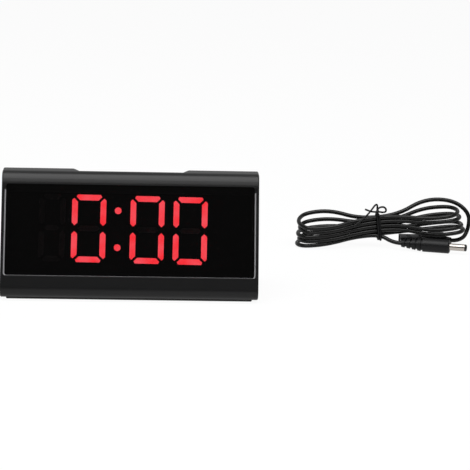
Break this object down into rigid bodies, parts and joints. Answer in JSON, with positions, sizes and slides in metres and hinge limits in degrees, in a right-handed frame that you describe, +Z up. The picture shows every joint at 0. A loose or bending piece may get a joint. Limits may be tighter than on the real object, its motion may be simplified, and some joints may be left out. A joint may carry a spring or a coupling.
{
  "type": "digital led desk clock",
  "caption": "Wedge-shaped LED desk clock: smoked lens over lit digits, sprung buttons in a top well, coin-turned cell hatch below, rear supply socket and a tied power lead.",
  "frame": {"origin": "on the surface the clock stands on, under the middle of its case", "axes": "+X to the right of someone reading the time, -Y towards them, +Z up"},
  "size_m": [0.2643, 0.1549, 0.0636],
  "materials": {
    "black_abs": "satin moulding",
    "smoked_acrylic": "polished, smoked",
    "lit_red_epoxy": "lit diffusing epoxy",
    "unlit_epoxy": "unlit diffusing epoxy",
    "reflector_black": "matt moulding",
    "circuit_board": "solder mask",
    "led_chip_resin": "clear resin",
    "button_abs": "fine texture",
    "plunger_nylon": "moulded",
    "switch_body": "moulded",
    "screw_steel": "zinc plated",
    "foot_rubber": "matt",
    "chip_epoxy": "moulded epoxy",
    "crystal_can": "drawn can",
    "buzzer_black": "moulded",
    "capacitor_can": "drawn can",
    "socket_black": "moulded",
    "plated_pin": "nickel plated",
    "ribbon_pvc": "flat ribbon",
    "socket_nylon": "moulded",
    "cell_steel": "plated",
    "holder_black": "moulded",
    "spring_brass": "sheet",
    "lead_pvc": "soft satin jacket",
    "plug_pvc": "moulded over",
    "tip_insulator": "moulded",
    "plug_shell_steel": "nickel plated",
    "tongue_plastic": "moulded",
    "tie_pvc": "coated wire"
  },
  "bodies": {
    "clock": {"upper_shell": "black_abs", "lower_shell": "black_abs", "lens": "smoked_acrylic", "hour_segments": "lit_red_epoxy", "minute_tens_segments": "lit_red_epoxy", "minute_units_segments": "lit_red_epoxy", "colon_dots": "lit_red_epoxy", "unlit_segments": "unlit_epoxy", "display_reflector": "reflector_black", "display_board": "circuit_board", "button_board": "circuit_board", "main_board": "circuit_board", "led_chips": "led_chip_resin", "tact_switches": "switch_body", "board_screws": "screw_steel", "case_screws": "screw_steel", "rubber_feet": "foot_rubber", "controller_chip": "chip_epoxy", "clock_crystal": "crystal_can", "buzzer": "buzzer_black", "capacitor": "capacitor_can", "dc_jack": "socket_black", "dc_jack_pin": "plated_pin", "dc_plug_barrel": "plated_pin", "display_ribbon": "ribbon_pvc", "button_ribbon": "ribbon_pvc", "ribbon_sockets": "socket_nylon", "coin_cell": "cell_steel", "cell_holder": "holder_black", "cell_contact": "spring_brass", "power_lead": "lead_pvc", "dc_plug_body": "plug_pvc", "usb_plug_body": "plug_pvc", "dc_plug_tip": "tip_insulator", "usb_plug_shell": "plug_shell_steel", "usb_plug_tongue": "tongue_plastic", "twist_tie": "tie_pvc"},
    "set_key": {"set_button": "button_abs", "set_plunger": "plunger_nylon"},
    "down_key": {"down_button": "button_abs", "down_plunger": "plunger_nylon"},
    "snooze_key": {"snooze_button": "button_abs", "snooze_plunger": "plunger_nylon"},
    "up_key": {"up_button": "button_abs", "up_plunger": "plunger_nylon"},
    "alarm_key": {"alarm_button": "button_abs", "alarm_plunger": "plunger_nylon"},
    "hatch": {"battery_hatch": "black_abs"}
  },
  "joints": [
    {"name": "set_press", "type": "slide", "parent": "clock", "child": "set_key", "axis": [0, 0, -1], "range_m": [0, 0.0006], "stiffness_N_per_m": 1000, "springref_m": -0.0004},
    {"name": "down_press", "type": "slide", "parent": "clock", "child": "down_key", "axis": [0, 0, -1], "range_m": [0, 0.0006], "stiffness_N_per_m": 1000, "springref_m": -0.0004},
    {"name": "snooze_press", "type": "slide", "parent": "clock", "child": "snooze_key", "axis": [0, 0, -1], "range_m": [0, 0.0006], "stiffness_N_per_m": 1000, "springref_m": -0.0004},
    {"name": "up_press", "type": "slide", "parent": "clock", "child": "up_key", "axis": [0, 0, -1], "range_m": [0, 0.0006], "stiffness_N_per_m": 1000, "springref_m": -0.0004},
    {"name": "alarm_press", "type": "slide", "parent": "clock", "child": "alarm_key", "axis": [0, 0, -1], "range_m": [0, 0.0006], "stiffness_N_per_m": 1000, "springref_m": -0.0004},
    {"name": "hatch_turn", "type": "hinge", "parent": "clock", "child": "hatch", "pos_m": [-0.03, 0, 0.0007], "axis": [0, 0, -1], "range_deg": [0, 60]}
  ]
}
